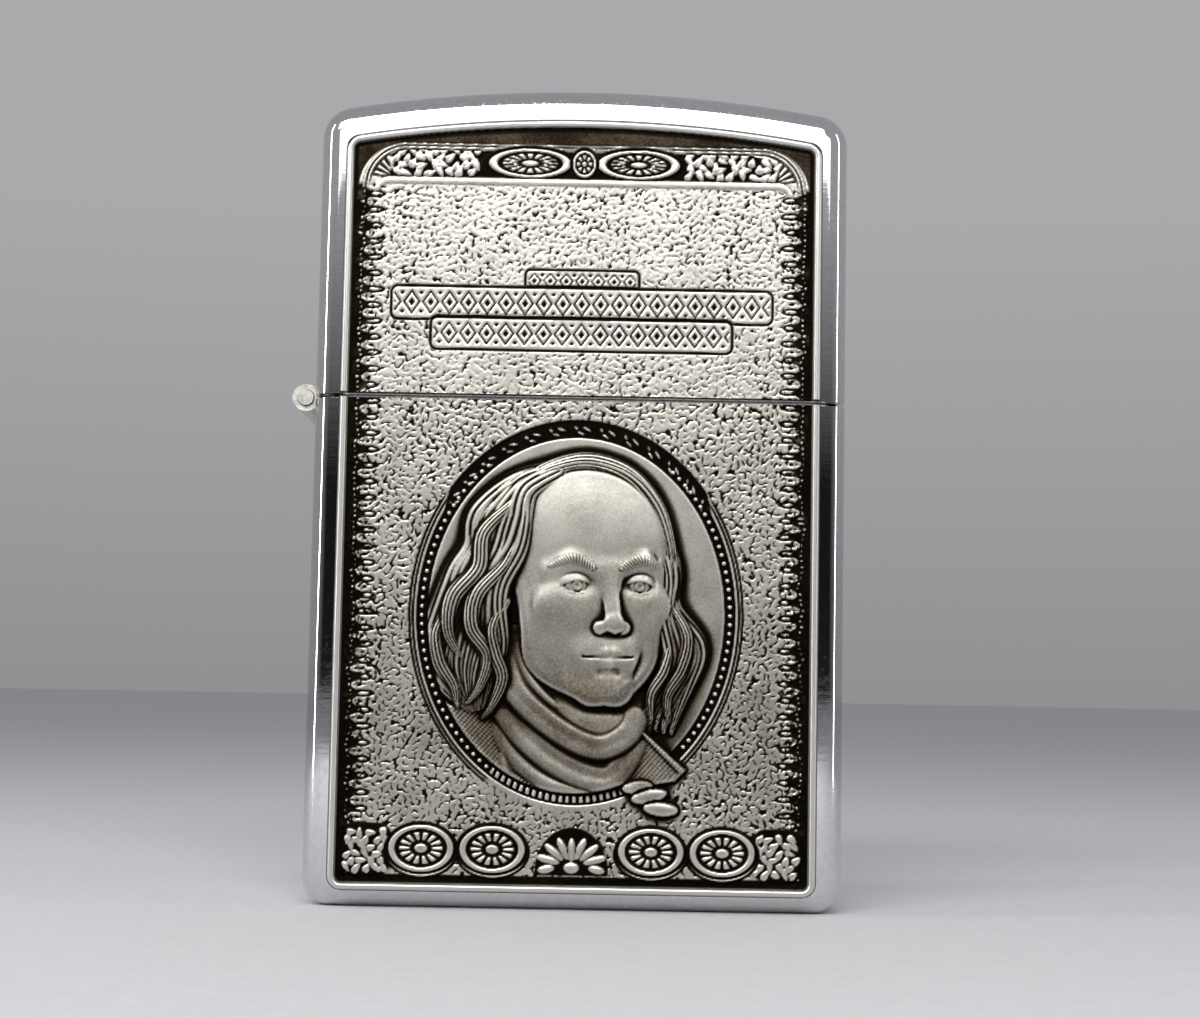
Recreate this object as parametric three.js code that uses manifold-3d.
// Flip-top windproof petrol lighter: a two-part chromed case with a relief plaque on the front of each
// part, and inside it the insert that holds the fuel packing, wick, chimney, flint, wheel and cam.
//
// Millimetres, +Z up. The origin is the middle of the case's flat base. The front, with the plaques,
// faces -Y, and the hinge is on the -X side with its axis along Y.

import * as THREE from "three";
import { mergeVertices } from "three/addons/utils/BufferGeometryUtils.js";
import Module from "manifold-3d";

const wasm = await Module();
wasm.setup();

// ---- Driving dimensions ----

// Case and lid
const CASE_WIDTH = 36.8;
const CASE_DEPTH = 12.8;
const CASE_HEIGHT = 34.7;
const LID_HEIGHT = 21.8;
const SEAM_GAP = 0.3;
const WALL = 0.6;
const EDGE_ROUND = 1.6;
const BOTTOM_CORNER = 1.9;
const TOP_CORNER = 2.3;
const TOP_ARC_RADIUS = 97;

// Plaques
const PLAQUE_SIDE_MARGIN = 1.9;
const PLAQUE_BOTTOM_MARGIN = 1.2;
const PLAQUE_TOP_MARGIN = 2.5;
const PLAQUE_SEAM_MARGIN = 0.15;
const PLAQUE_FIELD = 0.6;
const PLAQUE_RIM_HEIGHT = 0.25;
const PLAQUE_RIM_WIDTH = 0.6;
const PLAQUE_CORNER = 1.0;
const MEDALLION_SIDE_MARGIN = 5.65;
const MEDALLION_TOP_MARGIN = 1.65;
const MEDALLION_BOTTOM_MARGIN = 5.95;
const MEDALLION_RING = 0.75;
const PORTRAIT_RELIEF = 0.75;
const LOW_RELIEF = 0.15;
const BAND_HEIGHT = 2.3;
const BAND_TOP_MARGIN = 1.9;
const BAND_SIDE_MARGIN = 1.4;
const LABEL_ROWS = [
  { width: 7.6, height: 1.4, aboveSeam: 7.9 },
  { width: 26, height: 2.1, aboveSeam: 6.3 },
  { width: 20.5, height: 2, aboveSeam: 4.2 },
];

// Hinge
const HINGE_OUTSET = 0.7;
const HINGE_END_MARGIN = 1.6;
const KNUCKLES = 5;
const KNUCKLE_GAP = 0.12;
const KNUCKLE_RADIUS = 0.95;
const PIN_RADIUS = 0.55;
const PIN_OVERHANG = 0.25;
const LEAF_THICKNESS = 0.35;
const LEAF_HEIGHT = 6;
const LEAF_DROP = 0.6;
const STOP_PLATE_THICKNESS = 0.3;
const STOP_PLATE_HEIGHT = 4.6;
const STOP_PLATE_WIDTH = 6;

// Insert
const INSERT_WALL = 0.5;
const INSERT_CORNER = 1.6;
const INSERT_TOP_ROUND = 0.8;
const INSERT_RISE = 4.2;
const CHIMNEY_WALL = 0.5;
const CHIMNEY_CORNER = 3.5;
const WIND_HOLE_RADIUS = 0.8;
const WIND_HOLE_PITCH = 3.2;
const WIND_HOLE_SIDE_MARGIN = 2.6;
const WIND_HOLE_END_MARGIN = 1.6;
const WHEEL_RADIUS = 3.7;
const WHEEL_WIDTH = 4.6;
const WHEEL_TEETH = 30;
const TOOTH_DEPTH = 0.3;
const AXLE_RADIUS = 0.95;
const CAM_WIDTH = 3.4;
const CAM_HUB_RADIUS = 1.9;
const CAM_NOSE_REACH = 5.5;
const CAM_NOSE_RADIUS = 0.8;
const CAM_RIVET_RADIUS = 0.8;
const CAM_SPRING_WIDTH = 2.6;
const CAM_SPRING_THICKNESS = 0.3;
const EAR_HEAD = 0.9;
const RIVET_HEAD = 0.5;

// Flint, wick and packing
const FLINT_RADIUS = 1.25;
const FLINT_LENGTH = 5;
const FLINT_TUBE_BORE = 1.4;
const FLINT_TUBE_WALL = 0.4;
const SPRING_TIP_HEIGHT = 1.3;
const SPRING_TIP_STEM = 2;
const SPRING_WIRE = 0.17;
const SPRING_RADIUS = 1;
const SPRING_TURNS = 16;
const SCREW_HEAD_RADIUS = 3.1;
const SCREW_HEAD_HEIGHT = 1.1;
const SCREW_SHANK = 6;
const SCREW_SLOT = 0.7;
const WICK_RADIUS = 1.5;
const WICK_STAND = 4.7;
const FELT_THICKNESS = 2.4;
const PACKING_COUNT = 4;

// Clearances
const JOIN = 0.1; // between pieces fastened to each other
const RUNNING = 0.05; // radial, between a shaft and what turns on it
const LOOSE = 0.3; // between pieces that slide or lie past each other
const INSERT_CLEARANCE = 0.3;
const HINGE_SIDE_GAP = 0.9;
const BASE_CLEARANCE = 1;
const CHIMNEY_SETBACK = 0.4;
const CHIMNEY_HEADROOM = 1.8;
const CAM_INSET = 6.7;
const CAM_RISE = 4.1;
const CAM_TO_CHIMNEY = 3.3;
const WHEEL_INSET = 7.6;
const WHEEL_RISE = 7.3;
const EAR_CLEARANCE = 0.35;

// ---- Places that follow from them ----

const halfWidth = CASE_WIDTH / 2;
const halfDepth = CASE_DEPTH / 2;
const lidBottom = CASE_HEIGHT + SEAM_GAP;
const totalHeight = lidBottom + LID_HEIGHT;
const beyond = 2 * totalHeight; // longer than anything it has to cut

const hingeX = -halfWidth - HINGE_OUTSET;
const hingeZ = CASE_HEIGHT + SEAM_GAP / 2;
const hingeLength = CASE_DEPTH - 2 * HINGE_END_MARGIN;
const leafX = -halfWidth + WALL + JOIN;

const insertLeft = -halfWidth + WALL + HINGE_SIDE_GAP;
const insertRight = halfWidth - WALL - INSERT_CLEARANCE;
const insertHalfDepth = halfDepth - WALL - INSERT_CLEARANCE;
const insertBottom = WALL + BASE_CLEARANCE;
const insertTop = CASE_HEIGHT + INSERT_RISE;

const camX = insertLeft + CAM_INSET;
const camZ = insertTop + CAM_RISE;
const wheelX = insertRight - WHEEL_INSET;
const wheelZ = insertTop + WHEEL_RISE;
const chimneyLeft = camX + CAM_TO_CHIMNEY;
const chimneyRight = wheelX - WHEEL_RADIUS;
const chimneyMiddle = (chimneyLeft + chimneyRight) / 2;
const chimneyHalfDepth = insertHalfDepth - CHIMNEY_SETBACK;
const chimneyTop = totalHeight - WALL - CHIMNEY_HEADROOM;
const plateTop = insertTop + JOIN;
const wheelGapHalf = WHEEL_WIDTH / 2 + EAR_CLEARANCE;
const camGapHalf = CAM_WIDTH / 2 + EAR_CLEARANCE;
const camSpringRivetX = insertLeft + 0.4 * CAM_INSET;

const flintTubeRadius = FLINT_TUBE_BORE + FLINT_TUBE_WALL;
const flintTop = wheelZ - WHEEL_RADIUS - JOIN;
const flintTubeTop = flintTop - WHEEL_RADIUS / 8;
const flintTubeBottom = insertBottom + LOOSE + SCREW_HEAD_HEIGHT + JOIN;
const screwTop = flintTubeBottom + SCREW_SHANK;
const springTipBottom = flintTop - FLINT_LENGTH - JOIN - SPRING_TIP_HEIGHT;
const wickTop = insertTop + WICK_STAND;
const packingBottom = insertBottom + LOOSE + FELT_THICKNESS + LOOSE;
const packingTop = insertTop - INSERT_WALL - 4 * LOOSE;

const plaqueBack = -halfDepth - JOIN / 2;
const plaqueField = plaqueBack - PLAQUE_FIELD;
const plaqueFront = plaqueField - PLAQUE_RIM_HEIGHT;
const plaqueHalfWidth = halfWidth - PLAQUE_SIDE_MARGIN;

// ---- Solids ----

// A closed geometry as a manifold solid.
function solidOf(geometry) {
  geometry.deleteAttribute("normal");
  geometry.deleteAttribute("uv");
  const merged = mergeVertices(geometry, 1e-4);
  return new wasm.Manifold(
    new wasm.Mesh({
      numProp: 3,
      vertProperties: merged.attributes.position.array,
      triVerts: new Uint32Array(merged.index.array),
    }),
  );
}

function geometryOf(solid) {
  const mesh = solid.getMesh();
  return new THREE.BufferGeometry()
    .setAttribute("position", new THREE.BufferAttribute(mesh.vertProperties, 3))
    .setIndex(new THREE.BufferAttribute(mesh.triVerts, 1));
}

const join = (...solids) => solids.reduce((whole, piece) => whole.add(piece));
const cut = (whole, ...tools) => tools.reduce((left, tool) => left.subtract(tool), whole);

function box(x0, x1, y0, y1, z0, z1) {
  const geometry = new THREE.BoxGeometry(x1 - x0, y1 - y0, z1 - z0);
  return solidOf(geometry.translate((x0 + x1) / 2, (y0 + y1) / 2, (z0 + z1) / 2));
}

// An outline drawn in X and Z, given depth from y0 to y1. round fillets its front and back edges.
function acrossDepth(outline, y0, y1, round = 0, curveSegments = 4) {
  const geometry = new THREE.ExtrudeGeometry(outline, {
    depth: y1 - y0 - 2 * round,
    curveSegments,
    bevelEnabled: round > 0,
    bevelThickness: round,
    bevelSize: round,
    bevelOffset: -round,
    bevelSegments: 5,
  });
  return solidOf(geometry.rotateX(Math.PI / 2).translate(0, y1 - round, 0));
}

// An outline drawn in X and Y, raised from z0 to z1. round fillets its lower and upper edges.
function upwards(outline, z0, z1, round = 0, curveSegments = 3) {
  const geometry = new THREE.ExtrudeGeometry(outline, {
    depth: z1 - z0 - 2 * round,
    curveSegments,
    bevelEnabled: round > 0,
    bevelThickness: round,
    bevelSize: round,
    bevelOffset: -round,
    bevelSegments: 3,
  });
  return solidOf(geometry.translate(0, 0, z0 + round));
}

function rodAlongY(x, z, radius, y0, y1, sides = 24) {
  const geometry = new THREE.CylinderGeometry(radius, radius, y1 - y0, sides);
  return solidOf(geometry.translate(x, (y0 + y1) / 2, z));
}

function rodAlongZ(x, y, radius, z0, z1, sides = 24) {
  const geometry = new THREE.CylinderGeometry(radius, radius, z1 - z0, sides);
  return solidOf(geometry.rotateX(Math.PI / 2).translate(x, y, (z0 + z1) / 2));
}

// A profile of [radius, height] pairs, from the lowest point up its outside, turned about a vertical axis.
function turnedAboutZ(x, y, profile, sides = 24) {
  const points = profile.map(([radius, height]) => new THREE.Vector2(radius, height));
  return solidOf(new THREE.LatheGeometry(points, sides).rotateX(Math.PI / 2).translate(x, y, 0));
}

function roundedRectangle(x0, x1, y0, y1, radius) {
  const outline = new THREE.Shape();
  outline.moveTo(x0 + radius, y0);
  outline.lineTo(x1 - radius, y0);
  outline.absarc(x1 - radius, y0 + radius, radius, -Math.PI / 2, 0);
  outline.lineTo(x1, y1 - radius);
  outline.absarc(x1 - radius, y1 - radius, radius, 0, Math.PI / 2);
  outline.lineTo(x0 + radius, y1);
  outline.absarc(x0 + radius, y1 - radius, radius, Math.PI / 2, Math.PI);
  outline.lineTo(x0, y0 + radius);
  outline.absarc(x0 + radius, y0 + radius, radius, Math.PI, 1.5 * Math.PI);
  return outline;
}

// The upper half of a front outline: straight sides, an arched top and a round corner between them.
function archOver(outline, half, arcRadius, arcCentre, corner) {
  const reach = half - corner;
  const cornerZ = arcCentre + Math.sqrt((arcRadius - corner) ** 2 - reach ** 2);
  const turn = Math.atan2(cornerZ - arcCentre, reach);
  outline.lineTo(half, cornerZ);
  outline.absarc(reach, cornerZ, corner, 0, turn);
  outline.absarc(0, arcCentre, arcRadius, turn, Math.PI - turn);
  outline.absarc(-reach, cornerZ, corner, Math.PI - turn, Math.PI);
}

// The closed lighter's front outline, drawn this far inside its outer faces.
function caseOutline(inset) {
  const half = halfWidth - inset;
  const corner = BOTTOM_CORNER - inset;
  const outline = new THREE.Shape();
  outline.moveTo(corner - half, inset);
  outline.lineTo(half - corner, inset);
  outline.absarc(half - corner, inset + corner, corner, -Math.PI / 2, 0);
  archOver(outline, half, TOP_ARC_RADIUS - inset, totalHeight - TOP_ARC_RADIUS, TOP_CORNER - inset);
  outline.lineTo(-half, inset + corner);
  outline.absarc(corner - half, inset + corner, corner, Math.PI, 1.5 * Math.PI);
  return outline;
}

// The whole closed case as one pillow, this far inside its outer faces.
function casePillow(inset) {
  return acrossDepth(caseOutline(inset), inset - halfDepth, halfDepth - inset, EDGE_ROUND - inset);
}

// The case's sheet metal between two heights, with the slot in the hinge side that the knuckles lie in.
function shellBetween(z0, z1) {
  const sheet = cut(casePillow(0), casePillow(WALL));
  const slotHalf = hingeLength / 2 + LOOSE;
  const slotHeight = KNUCKLE_RADIUS + SEAM_GAP / 2;
  const slot = box(-beyond, leafX, -slotHalf, slotHalf, hingeZ - slotHeight, hingeZ + slotHeight);
  return cut(sheet.intersect(box(-beyond, beyond, -beyond, beyond, z0, z1)), slot);
}

// ---- Plaques ----

function ellipse(x, z, halfX, halfZ) {
  const outline = new THREE.Shape();
  outline.absellipse(x, z, halfX, halfZ, 0, 2 * Math.PI);
  return outline;
}

// A low dome on a plaque's field.
function dome(x, z, halfX, halfZ, height) {
  const geometry = new THREE.SphereGeometry(1, 16, 10);
  geometry.rotateX(Math.PI / 2).scale(halfX, height, halfZ).translate(x, plaqueField, z);
  return solidOf(geometry).intersect(box(-beyond, beyond, -beyond, plaqueBack - JOIN, -beyond, beyond));
}

function casePlaqueOutline(inset) {
  const half = plaqueHalfWidth - inset;
  const corner = PLAQUE_CORNER - inset;
  const bottom = PLAQUE_BOTTOM_MARGIN + inset;
  const outline = new THREE.Shape();
  outline.moveTo(corner - half, bottom);
  outline.lineTo(half - corner, bottom);
  outline.absarc(half - corner, bottom + corner, corner, -Math.PI / 2, 0);
  outline.lineTo(half, CASE_HEIGHT - PLAQUE_SEAM_MARGIN);
  outline.lineTo(-half, CASE_HEIGHT - PLAQUE_SEAM_MARGIN);
  outline.lineTo(-half, bottom + corner);
  outline.absarc(corner - half, bottom + corner, corner, Math.PI, 1.5 * Math.PI);
  return outline;
}

function lidPlaqueOutline(inset) {
  const half = plaqueHalfWidth - inset;
  const arcRadius = TOP_ARC_RADIUS - PLAQUE_TOP_MARGIN - inset;
  const outline = new THREE.Shape();
  outline.moveTo(-half, lidBottom + PLAQUE_SEAM_MARGIN);
  outline.lineTo(half, lidBottom + PLAQUE_SEAM_MARGIN);
  archOver(outline, half, arcRadius, totalHeight - TOP_ARC_RADIUS, PLAQUE_CORNER - inset);
  return outline;
}

// A plate with a raised rim. The rim is left off along the seam, where the field runs out to the edge.
function rimmedPlate(outlineAt) {
  const pocket = acrossDepth(outlineAt(PLAQUE_RIM_WIDTH), plaqueFront - 1, plaqueField);
  return cut(acrossDepth(outlineAt(0), plaqueFront, plaqueBack), pocket);
}

function makeCasePlaque() {
  const halfX = plaqueHalfWidth - MEDALLION_SIDE_MARGIN;
  const top = CASE_HEIGHT - PLAQUE_SEAM_MARGIN - MEDALLION_TOP_MARGIN;
  const bottom = PLAQUE_BOTTOM_MARGIN + MEDALLION_BOTTOM_MARGIN;
  const halfZ = (top - bottom) / 2;
  const z = (top + bottom) / 2;
  const face = plaqueField - LOW_RELIEF;
  const inside = plaqueField + JOIN;
  const ring = cut(
    acrossDepth(ellipse(0, z, halfX, halfZ), face, inside, 0, 24),
    acrossDepth(ellipse(0, z, halfX - MEDALLION_RING, halfZ - MEDALLION_RING), face - 1, inside + 1, 0, 24),
  );
  const hair = dome(-0.08 * halfX, z + 0.12 * halfZ, 0.78 * halfX, 0.68 * halfZ, PORTRAIT_RELIEF / 2);
  const head = dome(0.07 * halfX, z + 0.15 * halfZ, 0.5 * halfX, 0.64 * halfZ, PORTRAIT_RELIEF);
  const shoulders = dome(0.05 * halfX, z - 0.62 * halfZ, 0.62 * halfX, 0.3 * halfZ, PORTRAIT_RELIEF / 2);
  return join(rimmedPlate(casePlaqueOutline), ring, hair, head, shoulders);
}

function makeLidPlaque() {
  const top = totalHeight - PLAQUE_TOP_MARGIN;
  const face = plaqueField - LOW_RELIEF;
  const inside = plaqueField + JOIN;
  const bandHalf = plaqueHalfWidth - BAND_SIDE_MARGIN;
  const bandTop = top - BAND_TOP_MARGIN;
  const band = roundedRectangle(-bandHalf, bandHalf, bandTop - BAND_HEIGHT, bandTop, BAND_HEIGHT / 3);
  const label = ({ width, height, aboveSeam }) => {
    const z = lidBottom + aboveSeam;
    const bar = roundedRectangle(-width / 2, width / 2, z - height / 2, z + height / 2, height / 4);
    return acrossDepth(bar, face, inside);
  };
  return join(rimmedPlate(lidPlaqueOutline), acrossDepth(band, face, inside), ...LABEL_ROWS.map(label));
}

// ---- Hinge ----

// One leaf with its knuckles. side is 1 for the lid's leaf, above the axis, and -1 for the case's.
function makeHingeLeaf(side, knuckles) {
  const pitch = (hingeLength + KNUCKLE_GAP) / KNUCKLES;
  const tabZ = hingeZ + side * LEAF_DROP;
  const tab = [tabZ - LEAF_THICKNESS / 2, tabZ + LEAF_THICKNESS / 2];
  const end = tabZ + side * LEAF_HEIGHT;
  const near = tabZ - (side * LEAF_THICKNESS) / 2;
  const half = hingeLength / 2;
  const heights = [Math.min(near, end), Math.max(near, end)];
  const plate = box(leafX, leafX + LEAF_THICKNESS, -half, half, ...heights);
  const rolled = knuckles.map((index) => {
    const y0 = index * pitch - half;
    const y1 = y0 + pitch - KNUCKLE_GAP;
    return join(
      rodAlongY(hingeX, hingeZ, KNUCKLE_RADIUS, y0, y1),
      box(hingeX, leafX + LEAF_THICKNESS, y0, y1, ...tab),
    );
  });
  return cut(join(plate, ...rolled), rodAlongY(hingeX, hingeZ, PIN_RADIUS + RUNNING, -beyond, beyond));
}

function makeHingePin() {
  const end = hingeLength / 2 + PIN_OVERHANG;
  return rodAlongY(hingeX, hingeZ, PIN_RADIUS, -end, end);
}

// The bent plate on the lid's leaf that the cam pushes.
function makeStopPlate() {
  const x = leafX + LEAF_THICKNESS + JOIN;
  const z = insertTop + 3 * LOOSE;
  const bend = z + 0.75 * STOP_PLATE_HEIGHT;
  const top = z + STOP_PLATE_HEIGHT;
  const lean = 0.5 * STOP_PLATE_THICKNESS;
  const outline = new THREE.Shape();
  outline.moveTo(x, z);
  outline.lineTo(x + STOP_PLATE_THICKNESS, z);
  outline.lineTo(x + STOP_PLATE_THICKNESS, bend);
  outline.lineTo(x + STOP_PLATE_THICKNESS + lean, top);
  outline.lineTo(x + lean, top);
  outline.lineTo(x, bend);
  return acrossDepth(outline, -STOP_PLATE_WIDTH / 2, STOP_PLATE_WIDTH / 2);
}

// ---- Insert ----

function insertPlan(inset) {
  return roundedRectangle(
    insertLeft + inset,
    insertRight - inset,
    inset - insertHalfDepth,
    insertHalfDepth - inset,
    INSERT_CORNER - inset,
  );
}

// The fuel chamber: a deep drawn box, open below, with holes in its top for wick, flint tube and rivet.
function makeInsertCase() {
  const body = upwards(insertPlan(0), insertBottom - INSERT_TOP_ROUND, insertTop, INSERT_TOP_ROUND);
  const floor = box(-beyond, beyond, -beyond, beyond, -beyond, insertBottom);
  const hollow = upwards(insertPlan(INSERT_WALL), insertBottom - 1, insertTop - INSERT_WALL);
  const under = insertTop - 2;
  return cut(
    body,
    floor,
    hollow,
    rodAlongZ(chimneyMiddle, 0, WICK_RADIUS + LOOSE, under, insertTop + 1),
    rodAlongZ(wheelX, 0, flintTubeRadius + JOIN, under, insertTop + 1),
    rodAlongZ(camSpringRivetX, 0, CAM_SPRING_THICKNESS + 2 * JOIN, under, insertTop + 1),
  );
}

// A pair of lugs that hold a rivet, standing out of the chimney's end towards the rivet.
function lugs(pivotX, pivotZ, from, shaftRadius, gapHalf) {
  const side = Math.sign(pivotX - from);
  const head = shaftRadius + EAR_HEAD;
  const outer = pivotX + side * head;
  const outline = new THREE.Shape();
  outline.moveTo(from, plateTop);
  outline.lineTo(outer, plateTop);
  outline.lineTo(outer, pivotZ);
  outline.absarc(pivotX, pivotZ, head, side > 0 ? 0 : Math.PI, Math.PI / 2, side < 0);
  outline.lineTo(from, pivotZ + head);
  const pair = [-1, 1].map((face) => {
    const edges = [face * gapHalf, face * (gapHalf + CHIMNEY_WALL)].sort((a, b) => a - b);
    return acrossDepth(outline, ...edges);
  });
  const bore = rodAlongY(pivotX, pivotZ, shaftRadius + JOIN, -beyond, beyond);
  return cut(join(...pair), bore);
}

// Evenly spaced places about a middle.
function centred(middle, count, pitch) {
  return Array.from({ length: count }, (_, index) => middle + (index - (count - 1) / 2) * pitch);
}

// The windproof chimney: an oval tube with staggered rows of holes in its front and back, open to the
// wheel, and with the lugs for the wheel's axle and the cam's rivet.
function makeChimney() {
  const halfAcross = Math.min(chimneyHalfDepth, (chimneyRight - chimneyLeft) / 2);
  const corner = Math.min(CHIMNEY_CORNER, halfAcross - CHIMNEY_WALL);
  const plan = (inset) =>
    roundedRectangle(
      chimneyLeft + inset,
      chimneyRight - inset,
      inset - chimneyHalfDepth,
      chimneyHalfDepth - inset,
      corner - inset,
    );
  const tube = upwards(plan(0), plateTop, chimneyTop, 0, 4);
  const bore = upwards(plan(CHIMNEY_WALL), plateTop - 1, chimneyTop + 1, 0, 4);
  const wheelLugs = lugs(wheelX, wheelZ, chimneyRight - 2 * CHIMNEY_WALL, AXLE_RADIUS, wheelGapHalf);
  const camLugs = lugs(camX, camZ, chimneyLeft + 2 * CHIMNEY_WALL, CAM_RIVET_RADIUS, camGapHalf);
  const window = box(
    chimneyRight - 2 * CHIMNEY_WALL,
    chimneyRight + CHIMNEY_WALL,
    -wheelGapHalf,
    wheelGapHalf,
    wheelZ - WHEEL_RADIUS,
    wheelZ + WHEEL_RADIUS,
  );
  const fitting = (span) => 1 + Math.floor(span / WIND_HOLE_PITCH);
  const rows = fitting(chimneyTop - wickTop - 2 * WIND_HOLE_END_MARGIN);
  const columns = fitting(chimneyRight - chimneyLeft - 2 * WIND_HOLE_SIDE_MARGIN);
  const holes = centred((wickTop + chimneyTop) / 2, rows, WIND_HOLE_PITCH).flatMap((z, row) =>
    centred(chimneyMiddle, columns - (row % 2), WIND_HOLE_PITCH).map((x) =>
      rodAlongY(x, z, WIND_HOLE_RADIUS, -beyond, beyond, 12),
    ),
  );
  return cut(join(tube, wheelLugs, camLugs), bore, window, ...holes);
}

// A rivet across a pair of lugs, with a head outside each.
function makeRivet(x, z, radius, gapHalf) {
  const shoulder = gapHalf + CHIMNEY_WALL + JOIN;
  const end = shoulder + RIVET_HEAD;
  const head = radius + 0.7 * EAR_HEAD;
  return join(
    rodAlongY(x, z, radius, -end, end),
    rodAlongY(x, z, head, -end, -shoulder),
    rodAlongY(x, z, head, shoulder, end),
  );
}

function makeFlintWheel() {
  const outline = new THREE.Shape();
  const step = (2 * Math.PI) / WHEEL_TEETH;
  for (let tooth = 0; tooth < WHEEL_TEETH; tooth += 1) {
    const tip = new THREE.Vector2(WHEEL_RADIUS, 0).rotateAround(new THREE.Vector2(), tooth * step);
    const root = tip.clone().setLength(WHEEL_RADIUS - TOOTH_DEPTH);
    root.rotateAround(new THREE.Vector2(), 0.25 * step);
    const move = tooth === 0 ? "moveTo" : "lineTo";
    outline[move](wheelX + tip.x, wheelZ + tip.y);
    outline.lineTo(wheelX + root.x, wheelZ + root.y);
  }
  const body = acrossDepth(outline, -WHEEL_WIDTH / 2, WHEEL_WIDTH / 2);
  return cut(body, rodAlongY(wheelX, wheelZ, AXLE_RADIUS + RUNNING, -beyond, beyond));
}

// The cam: a round hub with a nose that reaches to the lid's stop plate.
function makeCam() {
  const noseX = camX - CAM_NOSE_REACH;
  const noseZ = camZ - 0.5 * CAM_NOSE_RADIUS;
  const outline = new THREE.Shape();
  outline.moveTo(camX, camZ - CAM_HUB_RADIUS);
  outline.absarc(camX, camZ, CAM_HUB_RADIUS, -Math.PI / 2, Math.PI / 2);
  outline.lineTo(noseX, noseZ + CAM_NOSE_RADIUS);
  outline.absarc(noseX, noseZ, CAM_NOSE_RADIUS, Math.PI / 2, 1.5 * Math.PI);
  const body = acrossDepth(outline, -CAM_WIDTH / 2, CAM_WIDTH / 2, 0, 6);
  return cut(body, rodAlongY(camX, camZ, CAM_RIVET_RADIUS + RUNNING, -beyond, beyond));
}

// A leaf spring: riveted flat to the insert's top, then rising to the underside of the cam's hub.
function makeCamSpring() {
  const start = insertLeft + INSERT_CORNER;
  const rise = camSpringRivetX + 3 * LOOSE + CAM_SPRING_THICKNESS;
  const end = camX + CAM_HUB_RADIUS;
  const crest = camZ - CAM_HUB_RADIUS - JOIN - CAM_SPRING_THICKNESS;
  const outline = new THREE.Shape();
  outline.moveTo(start, plateTop);
  outline.lineTo(rise, plateTop);
  outline.lineTo(camX, crest);
  outline.lineTo(end, crest - LOOSE);
  outline.lineTo(end, crest - LOOSE + CAM_SPRING_THICKNESS);
  outline.lineTo(camX, crest + CAM_SPRING_THICKNESS);
  outline.lineTo(rise - CAM_SPRING_THICKNESS / 2, plateTop + CAM_SPRING_THICKNESS);
  outline.lineTo(start, plateTop + CAM_SPRING_THICKNESS);
  const strip = acrossDepth(outline, -CAM_SPRING_WIDTH / 2, CAM_SPRING_WIDTH / 2);
  return cut(strip, rodAlongZ(camSpringRivetX, 0, CAM_SPRING_THICKNESS + 2 * JOIN, insertTop, camZ));
}

function makeCamSpringRivet() {
  const shoulder = plateTop + CAM_SPRING_THICKNESS + JOIN;
  const shank = CAM_SPRING_THICKNESS + JOIN;
  return turnedAboutZ(camSpringRivetX, 0, [
    [0, insertTop - 2 * INSERT_WALL],
    [shank, insertTop - 2 * INSERT_WALL],
    [shank, shoulder],
    [2.2 * shank, shoulder],
    [1.8 * shank, shoulder + RIVET_HEAD / 2],
    [0, shoulder + RIVET_HEAD / 2],
  ]);
}

function makeFlintTube() {
  return turnedAboutZ(wheelX, 0, [
    [FLINT_TUBE_BORE, flintTubeBottom],
    [flintTubeRadius, flintTubeBottom],
    [flintTubeRadius, flintTubeTop],
    [FLINT_TUBE_BORE, flintTubeTop],
    [FLINT_TUBE_BORE, flintTubeBottom],
  ]);
}

function makeSpringTip() {
  const stem = SPRING_RADIUS - 2 * SPRING_WIRE - RUNNING;
  return turnedAboutZ(wheelX, 0, [
    [0, springTipBottom - SPRING_TIP_STEM],
    [stem, springTipBottom - SPRING_TIP_STEM],
    [stem, springTipBottom],
    [FLINT_RADIUS, springTipBottom],
    [FLINT_RADIUS, springTipBottom + SPRING_TIP_HEIGHT],
    [0, springTipBottom + SPRING_TIP_HEIGHT],
  ]);
}

class Helix extends THREE.Curve {
  constructor(x, radius, z0, z1, turns) {
    super();
    Object.assign(this, { x, radius, z0, z1, turns });
  }

  getPoint(t, target = new THREE.Vector3()) {
    const angle = 2 * Math.PI * this.turns * t;
    const z = this.z0 + (this.z1 - this.z0) * t;
    return target.set(this.x + this.radius * Math.cos(angle), this.radius * Math.sin(angle), z);
  }
}

function makeFlintSpring() {
  const low = screwTop + SPRING_WIRE + JOIN;
  const high = springTipBottom - SPRING_WIRE - JOIN;
  const wire = new THREE.Shape();
  wire.absarc(0, 0, SPRING_WIRE, 0, 2 * Math.PI);
  const geometry = new THREE.ExtrudeGeometry(wire, {
    extrudePath: new Helix(wheelX, SPRING_RADIUS - SPRING_WIRE, low, high, SPRING_TURNS),
    steps: 8 * SPRING_TURNS,
    curveSegments: 3,
  });
  return solidOf(geometry);
}

function makeFlintScrew() {
  const foot = insertBottom + LOOSE;
  const shank = FLINT_TUBE_BORE - RUNNING;
  const turned = turnedAboutZ(wheelX, 0, [
    [0, foot],
    [SCREW_HEAD_RADIUS - 0.2, foot],
    [SCREW_HEAD_RADIUS, foot + 0.2],
    [SCREW_HEAD_RADIUS, foot + SCREW_HEAD_HEIGHT],
    [shank, foot + SCREW_HEAD_HEIGHT],
    [shank, screwTop],
    [0, screwTop],
  ]);
  const slotHalf = SCREW_SLOT / 2;
  const slotTop = foot + SCREW_HEAD_HEIGHT / 2;
  return cut(turned, box(-beyond, beyond, -slotHalf, slotHalf, -beyond, slotTop));
}

function makeWick() {
  return turnedAboutZ(chimneyMiddle, 0, [
    [0, packingBottom + LOOSE],
    [WICK_RADIUS, packingBottom + LOOSE],
    [WICK_RADIUS, wickTop - 0.3],
    [WICK_RADIUS - 0.3, wickTop],
    [0, wickTop],
  ]);
}

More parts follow.
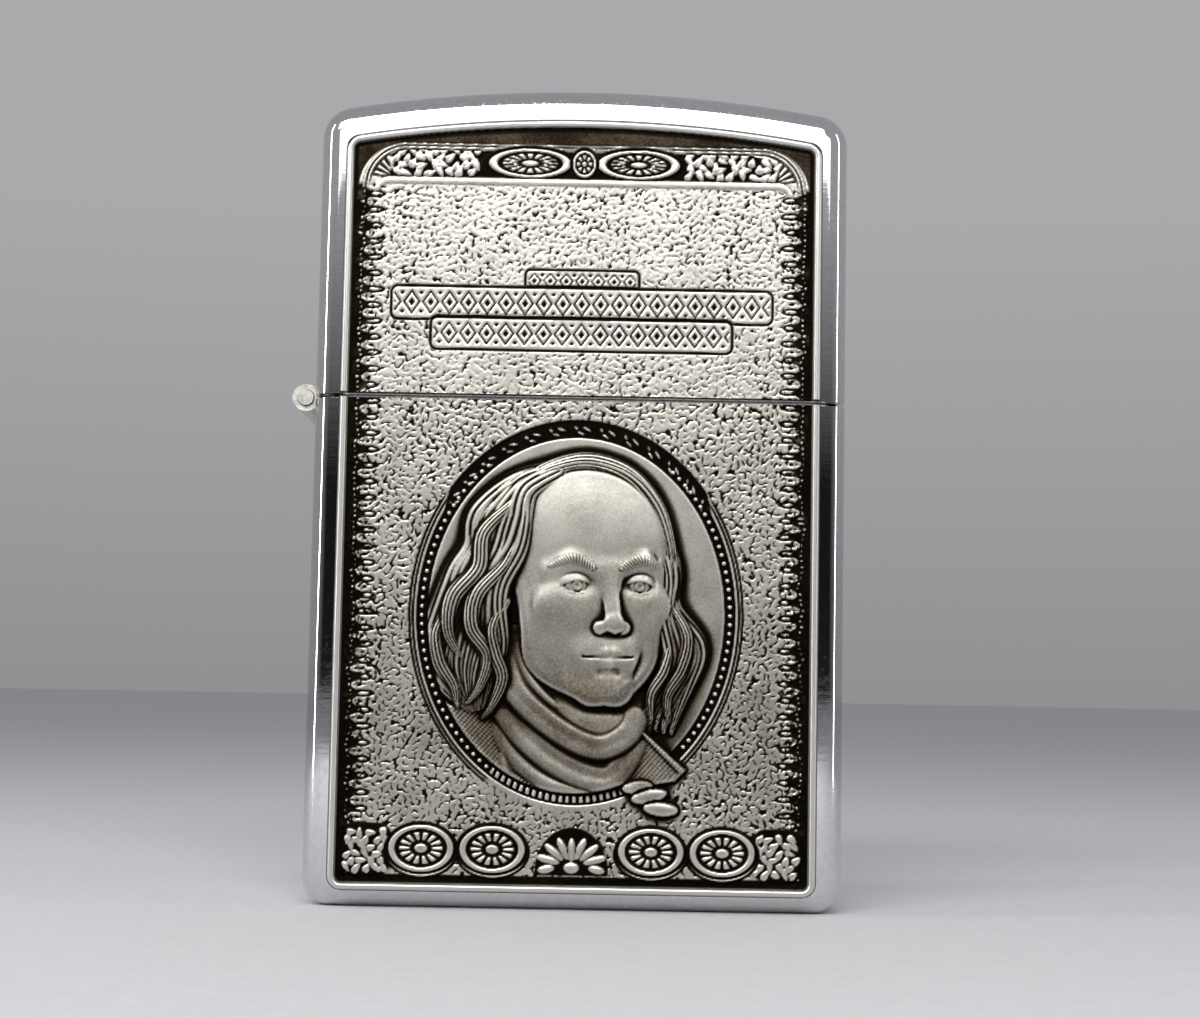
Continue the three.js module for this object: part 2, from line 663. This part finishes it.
// One layer of the fuel packing, bored for the wick and the flint tube.
function makePacking(index) {
  const height = (packingTop - packingBottom + LOOSE) / PACKING_COUNT;
  const z0 = packingBottom + index * height;
  const z1 = z0 + height - LOOSE;
  return cut(
    upwards(insertPlan(INSERT_WALL + LOOSE), z0, z1),
    rodAlongZ(chimneyMiddle, 0, WICK_RADIUS + LOOSE, z0 - 1, z1 + 1),
    rodAlongZ(wheelX, 0, flintTubeRadius + LOOSE, z0 - 1, z1 + 1),
  );
}

function makeFeltPad() {
  const z0 = insertBottom + LOOSE;
  const z1 = z0 + FELT_THICKNESS;
  return cut(
    upwards(insertPlan(INSERT_WALL + LOOSE), z0, z1),
    rodAlongZ(wheelX, 0, SCREW_HEAD_RADIUS + LOOSE, z0 - 1, z1 + 1),
  );
}

// ---- Assembly ----

const CHROME = { color: 0xd9dadc, metalness: 1, roughness: 0.12 };
const PEWTER = { color: 0x9d9a92, metalness: 1, roughness: 0.42 };
const STAINLESS = { color: 0xc3c2bd, metalness: 1, roughness: 0.3 };
const BRASS = { color: 0xc9a24a, metalness: 1, roughness: 0.3 };
const TOOL_STEEL = { color: 0x6d6c6a, metalness: 1, roughness: 0.45 };
const FLINT = { color: 0x4b4845, metalness: 0.4, roughness: 0.7 };
const COTTON = { color: 0xe4dcc6, metalness: 0, roughness: 0.95 };
const FELT = { color: 0xb9b2a2, metalness: 0, roughness: 1 };

const lighter = new THREE.Group();

function addPiece(name, solid, finish) {
  const mesh = new THREE.Mesh(geometryOf(solid), new THREE.MeshStandardMaterial(finish));
  mesh.name = name;
  lighter.add(mesh);
}

addPiece("case_shell", shellBetween(-beyond, CASE_HEIGHT), CHROME);
addPiece("case_plaque", makeCasePlaque(), PEWTER);
addPiece("lid_shell", shellBetween(lidBottom, beyond), CHROME);
addPiece("lid_plaque", makeLidPlaque(), PEWTER);
addPiece("hinge_leaf_case", makeHingeLeaf(-1, [0, 2, 4]), CHROME);
addPiece("hinge_leaf_lid", makeHingeLeaf(1, [1, 3]), CHROME);
addPiece("hinge_pin", makeHingePin(), CHROME);
addPiece("lid_stop_plate", makeStopPlate(), STAINLESS);
addPiece("insert_case", makeInsertCase(), STAINLESS);
addPiece("chimney", makeChimney(), STAINLESS);
addPiece("flint_wheel", makeFlintWheel(), TOOL_STEEL);
addPiece("wheel_axle", makeRivet(wheelX, wheelZ, AXLE_RADIUS, wheelGapHalf), BRASS);
addPiece("cam", makeCam(), STAINLESS);
addPiece("cam_rivet", makeRivet(camX, camZ, CAM_RIVET_RADIUS, camGapHalf), STAINLESS);
addPiece("cam_spring", makeCamSpring(), STAINLESS);
addPiece("cam_spring_rivet", makeCamSpringRivet(), STAINLESS);
addPiece("flint_tube", makeFlintTube(), BRASS);
addPiece("flint", rodAlongZ(wheelX, 0, FLINT_RADIUS, flintTop - FLINT_LENGTH, flintTop), FLINT);
addPiece("flint_spring_tip", makeSpringTip(), BRASS);
addPiece("flint_spring", makeFlintSpring(), STAINLESS);
addPiece("flint_screw", makeFlintScrew(), BRASS);
addPiece("wick", makeWick(), COTTON);
for (let index = 0; index < PACKING_COUNT; index += 1) {
  addPiece(`packing_${index + 1}`, makePacking(index), COTTON);
}
addPiece("felt_pad", makeFeltPad(), FELT);

export default lighter;
